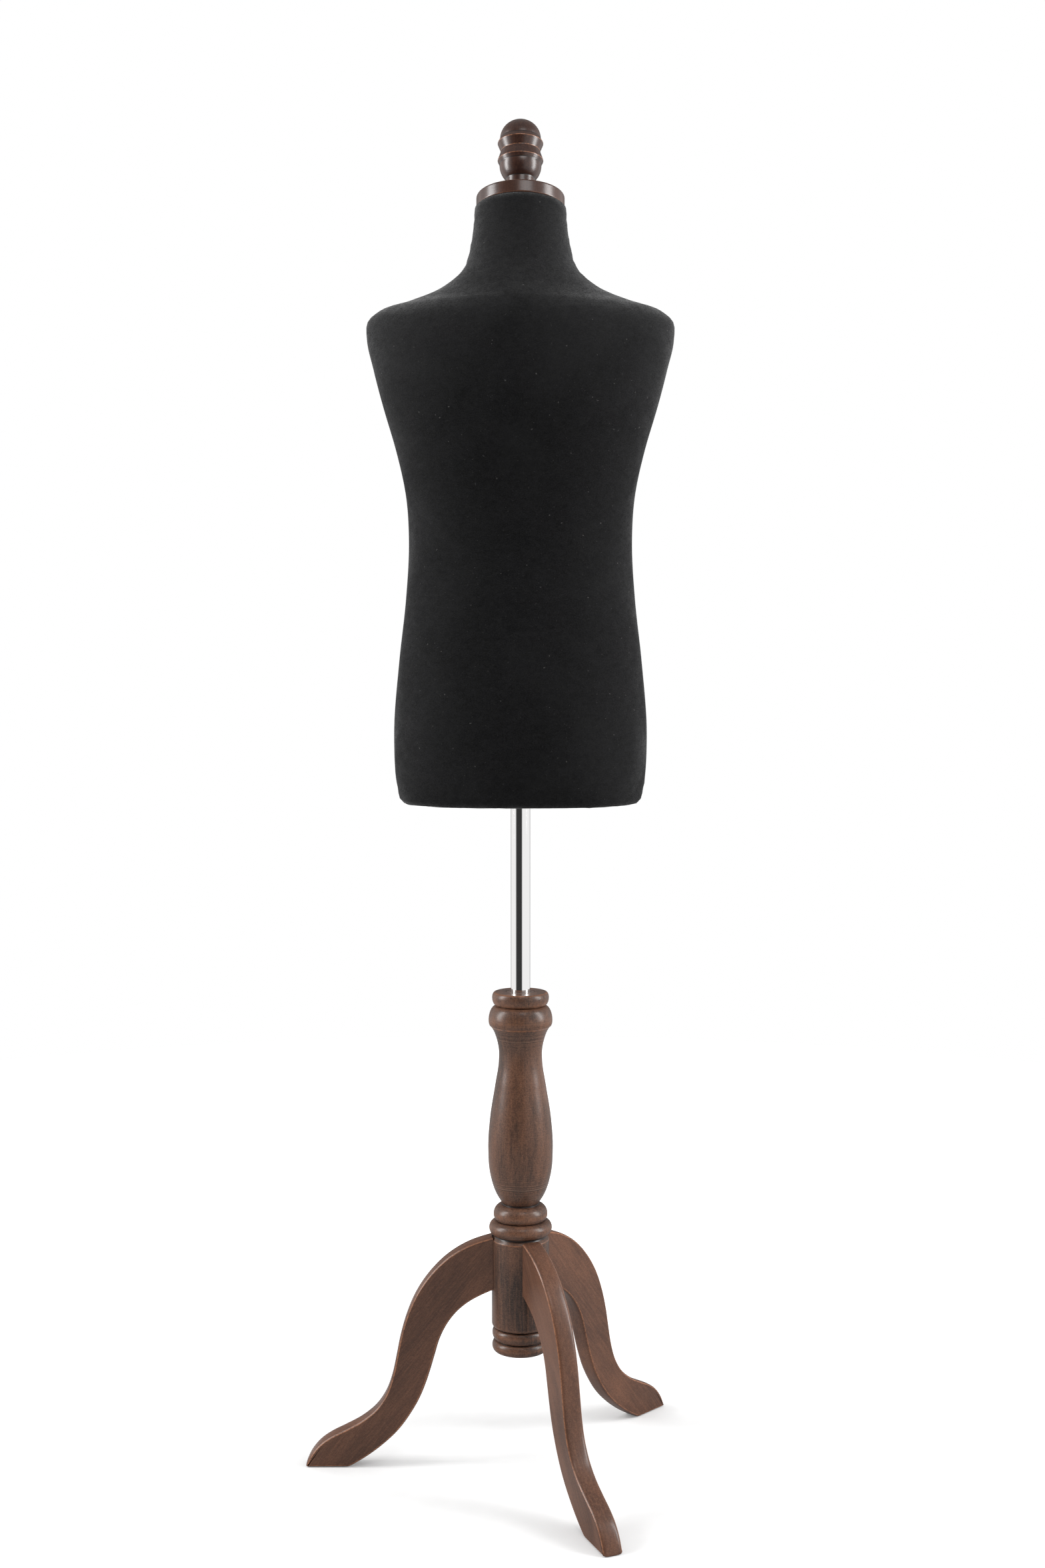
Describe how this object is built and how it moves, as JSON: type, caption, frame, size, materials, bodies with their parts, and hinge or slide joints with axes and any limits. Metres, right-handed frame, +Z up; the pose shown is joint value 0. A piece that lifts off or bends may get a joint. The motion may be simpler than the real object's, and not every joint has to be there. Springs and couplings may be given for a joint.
{
  "type": "dress form mannequin",
  "caption": "Fabric-covered torso form with a turned neck finial, turning on a height-adjustable pole in a turned wooden column with cabriole legs.",
  "frame": {"origin": "floor level, in the middle of the box that holds the whole object; the pole's axis stands at x 0.0365, y 0.0143", "axes": "+Z up along the pole, +Y the way the torso faces, +X to the torso's right as seen from behind it"},
  "size_m": [0.4272, 0.4162, 1.5593],
  "materials": {
    "stained_wood": "dark brown stain under satin lacquer, worn to orange on the edges",
    "plywood": "raw",
    "beech": "raw",
    "black_fabric": "short-napped black velvet jersey",
    "shell_laminate": "rough laminate",
    "chrome": "mirror plated",
    "zinc_steel": "zinc plated",
    "brass": "turned",
    "white_nylon": "moulded",
    "black_plastic": "moulded",
    "brown_plastic": "moulded, tinted to match the stain"
  },
  "bodies": {
    "base": {"column": "stained_wood", "top_bush": "brown_plastic", "leg_front": "stained_wood", "leg_left": "stained_wood", "leg_right": "stained_wood", "hanger_bolt_front_upper": "zinc_steel", "hanger_bolt_front_lower": "zinc_steel", "hanger_bolt_left_upper": "zinc_steel", "hanger_bolt_left_lower": "zinc_steel", "hanger_bolt_right_upper": "zinc_steel", "hanger_bolt_right_lower": "zinc_steel", "flange_nut_front_upper": "zinc_steel", "flange_nut_front_lower": "zinc_steel", "flange_nut_left_upper": "zinc_steel", "flange_nut_left_lower": "zinc_steel", "flange_nut_right_upper": "zinc_steel", "flange_nut_right_lower": "zinc_steel", "clamp_insert": "brass"},
    "clamp_slide": {"clamp_pad": "white_nylon"},
    "clamp_turn": {"clamp_screw": "zinc_steel", "clamp_knob": "black_plastic"},
    "pole": {"pole_tube": "chrome", "pole_foot_guide": "white_nylon", "pole_top_plug": "white_nylon"},
    "torso": {"fabric_cover": "black_fabric", "torso_shell": "shell_laminate", "base_board": "plywood", "pole_socket": "zinc_steel", "thrust_pad": "white_nylon", "socket_screw_1": "zinc_steel", "socket_screw_2": "zinc_steel", "socket_screw_3": "zinc_steel", "socket_screw_4": "zinc_steel", "neck_block": "beech", "neck_cap": "stained_wood", "neck_insert": "brass", "cap_dowel_left": "beech", "cap_dowel_right": "beech"},
    "finial": {"finial": "stained_wood", "finial_stud": "zinc_steel"}
  },
  "joints": [
    {"name": "pole_height", "type": "slide", "parent": "base", "child": "pole", "axis": [0, 0, 1], "range_m": [-0.195, 0.12]},
    {"name": "torso_swivel", "type": "hinge", "parent": "pole", "child": "torso", "pos_m": [0.03498, 0.02366, 0.9333], "axis": [0, 0, 1], "continuous": true},
    {"name": "finial_spin", "type": "hinge", "parent": "torso", "child": "finial", "pos_m": [0.03498, 0.04566, 1.451], "axis": [0, 0.165, 0.9863], "continuous": true},
    {"name": "clamp_travel", "type": "slide", "parent": "base", "child": "clamp_slide", "axis": [0, 1, 0], "range_m": [0, 0.0025]},
    {"name": "clamp_knob_turn", "type": "hinge", "parent": "clamp_slide", "child": "clamp_turn", "pos_m": [0.03498, 0.06366, 0.5265], "axis": [0, 1, 0], "range_deg": [0, 720]}
  ],
  "couplings": [
    {"joint": "clamp_knob_turn", "follows": "clamp_travel", "rad_per_m": 5026.5}
  ]
}
